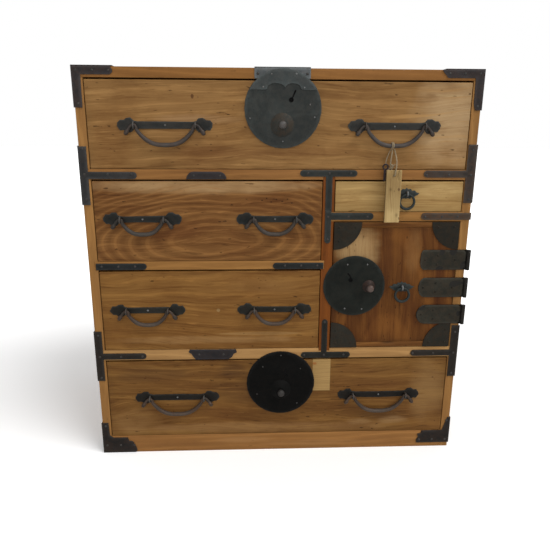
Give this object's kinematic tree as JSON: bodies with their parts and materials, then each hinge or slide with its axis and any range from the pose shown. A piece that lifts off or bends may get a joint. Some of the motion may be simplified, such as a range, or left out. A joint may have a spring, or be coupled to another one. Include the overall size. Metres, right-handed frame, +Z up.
{
  "type": "tansu chest",
  "caption": "Small wooden merchant's chest with full-width and half-width sliding drawers, a hinged door, round iron lock plates, bail handles and iron corner straps.",
  "frame": {"origin": "middle of the underside of the case, where it stands", "axes": "+Z up, front of the drawers towards -Y, +X to the right of someone facing the front"},
  "size_m": [0.6088, 0.373, 0.6295],
  "materials": {
    "case_wood": "aged oiled softwood, satin",
    "front_wood": "aged figured softwood, satin",
    "pale_wood": "paler straight-grained wood, satin",
    "door_wood": "reddish worn wood, satin",
    "inner_wood": "bare dry softwood, matt",
    "iron": "forged iron, dark oxide, low sheen",
    "black_iron": "blackened iron, low sheen",
    "tag_wood": "raw split wood, matt",
    "twine": "hemp twine, matt"
  },
  "bodies": {
    "case": {"top_board": "case_wood", "bottom_board": "inner_wood", "base_rail": "case_wood", "left_side": "case_wood", "right_side": "case_wood", "back_boards": "inner_wood", "upper_shelf": "case_wood", "lower_shelf": "case_wood", "divider": "case_wood", "mid_rails": "case_wood", "corner_irons": "iron", "rail_irons": "iron", "case_nails": "iron", "hinge_case_leaves": "iron"},
    "door": {"door_panel": "door_wood", "door_corner_irons": "iron", "hinge_door_leaves": "iron", "door_lock_plate": "iron", "door_lock_works": "iron", "door_pull_plate": "iron"},
    "door_ring": {"door_pull_ring": "iron"},
    "door_knob": {"door_lock_knob": "iron"},
    "door_bolt": {"door_lock_bolt": "iron"},
    "top_drawer": {"top_drawer_front": "front_wood", "top_drawer_box": "inner_wood", "top_drawer_handle_plates": "iron", "top_lock_plate": "iron", "top_lock_works": "iron"},
    "top_left_bail": {"top_drawer_left_bail": "iron"},
    "top_right_bail": {"top_drawer_right_bail": "iron"},
    "top_knob": {"top_lock_knob": "iron"},
    "top_bolt": {"top_lock_bolt": "iron"},
    "upper_left_drawer": {"upper_left_drawer_front": "front_wood", "upper_left_drawer_box": "inner_wood", "upper_left_drawer_handle_plates": "iron"},
    "upper_left_bail": {"upper_left_drawer_left_bail": "iron"},
    "upper_right_bail": {"upper_left_drawer_right_bail": "iron"},
    "lower_left_drawer": {"lower_left_drawer_front": "front_wood", "lower_left_drawer_box": "inner_wood", "lower_left_drawer_handle_plates": "iron"},
    "lower_left_bail": {"lower_left_drawer_left_bail": "iron"},
    "lower_right_bail": {"lower_left_drawer_right_bail": "iron"},
    "bottom_drawer": {"bottom_drawer_front": "front_wood", "bottom_drawer_box": "inner_wood", "bottom_drawer_handle_plates": "iron", "bottom_lock_plate": "black_iron", "bottom_lock_works": "iron"},
    "bottom_left_bail": {"bottom_drawer_left_bail": "iron"},
    "bottom_right_bail": {"bottom_drawer_right_bail": "iron"},
    "bottom_knob": {"bottom_lock_knob": "black_iron"},
    "bottom_bolt": {"bottom_lock_bolt": "iron"},
    "small_drawer": {"small_drawer_front": "pale_wood", "small_drawer_box": "inner_wood", "small_pull_plate": "iron"},
    "small_ring": {"small_pull_ring": "iron"},
    "tag_loop": {"tag_loop": "twine", "key": "iron"},
    "tag": {"tag": "tag_wood", "tag_cord": "twine", "tag_loop_turn": "twine"}
  },
  "joints": [
    {"name": "top_drawer_slide", "type": "slide", "parent": "case", "child": "top_drawer", "axis": [0, -1, 0], "range_m": [0, 0.25]},
    {"name": "bottom_drawer_slide", "type": "slide", "parent": "case", "child": "bottom_drawer", "axis": [0, -1, 0], "range_m": [0, 0.25]},
    {"name": "upper_left_drawer_slide", "type": "slide", "parent": "case", "child": "upper_left_drawer", "axis": [0, -1, 0], "range_m": [0, 0.25]},
    {"name": "lower_left_drawer_slide", "type": "slide", "parent": "case", "child": "lower_left_drawer", "axis": [0, -1, 0], "range_m": [0, 0.25]},
    {"name": "small_drawer_slide", "type": "slide", "parent": "case", "child": "small_drawer", "axis": [0, -1, 0], "range_m": [0, 0.18]},
    {"name": "door_hinge", "type": "hinge", "parent": "case", "child": "door", "pos_m": [0.3032, -0.1782, 0.2945], "axis": [0, 0, 1], "range_deg": [0, 245]},
    {"name": "top_left_bail_swing", "type": "hinge", "parent": "top_drawer", "child": "top_left_bail", "pos_m": [-0.171, -0.1825, 0.548], "axis": [-1, 0, 0], "range_deg": [0, 90]},
    {"name": "top_right_bail_swing", "type": "hinge", "parent": "top_drawer", "child": "top_right_bail", "pos_m": [0.171, -0.1825, 0.548], "axis": [-1, 0, 0], "range_deg": [0, 90]},
    {"name": "upper_left_bail_swing", "type": "hinge", "parent": "upper_left_drawer", "child": "upper_left_bail", "pos_m": [-0.212, -0.1825, 0.408], "axis": [-1, 0, 0], "range_deg": [0, 90]},
    {"name": "upper_right_bail_swing", "type": "hinge", "parent": "upper_left_drawer", "child": "upper_right_bail", "pos_m": [-0.008, -0.1825, 0.408], "axis": [-1, 0, 0], "range_deg": [0, 90]},
    {"name": "lower_left_bail_swing", "type": "hinge", "parent": "lower_left_drawer", "child": "lower_left_bail", "pos_m": [-0.212, -0.1825, 0.26], "axis": [-1, 0, 0], "range_deg": [0, 90]},
    {"name": "lower_right_bail_swing", "type": "hinge", "parent": "lower_left_drawer", "child": "lower_right_bail", "pos_m": [-0.008, -0.1825, 0.26], "axis": [-1, 0, 0], "range_deg": [0, 90]},
    {"name": "bottom_left_bail_swing", "type": "hinge", "parent": "bottom_drawer", "child": "bottom_left_bail", "pos_m": [-0.171, -0.1825, 0.105], "axis": [-1, 0, 0], "range_deg": [0, 90]},
    {"name": "bottom_right_bail_swing", "type": "hinge", "parent": "bottom_drawer", "child": "bottom_right_bail", "pos_m": [0.171, -0.1825, 0.105], "axis": [-1, 0, 0], "range_deg": [0, 90]},
    {"name": "small_ring_swing", "type": "hinge", "parent": "small_drawer", "child": "small_ring", "pos_m": [0.196, -0.1821, 0.446], "axis": [-1, 0, 0], "range_deg": [0, 90]},
    {"name": "door_ring_swing", "type": "hinge", "parent": "door", "child": "door_ring", "pos_m": [0.1985, -0.1821, 0.295], "axis": [-1, 0, 0], "range_deg": [0, 90]},
    {"name": "top_knob_press", "type": "slide", "parent": "top_drawer", "child": "top_knob", "axis": [0, 1, 0], "range_m": [0, 0.003], "stiffness_N_per_m": 200},
    {"name": "bottom_knob_press", "type": "slide", "parent": "bottom_drawer", "child": "bottom_knob", "axis": [0, 1, 0], "range_m": [0, 0.003], "stiffness_N_per_m": 200},
    {"name": "door_knob_press", "type": "slide", "parent": "door", "child": "door_knob", "axis": [0, 1, 0], "range_m": [0, 0.003], "stiffness_N_per_m": 200},
    {"name": "top_bolt_lift", "type": "slide", "parent": "top_drawer", "child": "top_bolt", "axis": [0, 0, 1], "range_m": [0, 0.006]},
    {"name": "bottom_bolt_lift", "type": "slide", "parent": "bottom_drawer", "child": "bottom_bolt", "axis": [0, 0, 1], "range_m": [0, 0.006]},
    {"name": "door_bolt_shoot", "type": "slide", "parent": "door", "child": "door_bolt", "axis": [-1, 0, 0], "range_m": [0, 0.006]},
    {"name": "tag_loop_hang", "type": "hinge", "parent": "top_right_bail", "child": "tag_loop", "pos_m": [0.1682, -0.1825, 0.5195], "axis": [-1, 0, 0], "range_deg": [-90, 0]},
    {"name": "tag_flip", "type": "hinge", "parent": "tag_loop", "child": "tag", "pos_m": [0.1682, -0.1825, 0.5195], "axis": [-1, 0, 0], "range_deg": [0, 160]}
  ],
  "couplings": [
    {"joint": "top_bolt_lift", "follows": "top_knob_press", "ratio": 2},
    {"joint": "bottom_bolt_lift", "follows": "bottom_knob_press", "ratio": 2},
    {"joint": "door_bolt_shoot", "follows": "door_knob_press", "ratio": 2},
    {"joint": "tag_loop_hang", "follows": "top_right_bail_swing", "ratio": -1},
    {"joint": "tag_flip", "follows": "small_drawer_slide", "rad_per_m": 15}
  ]
}
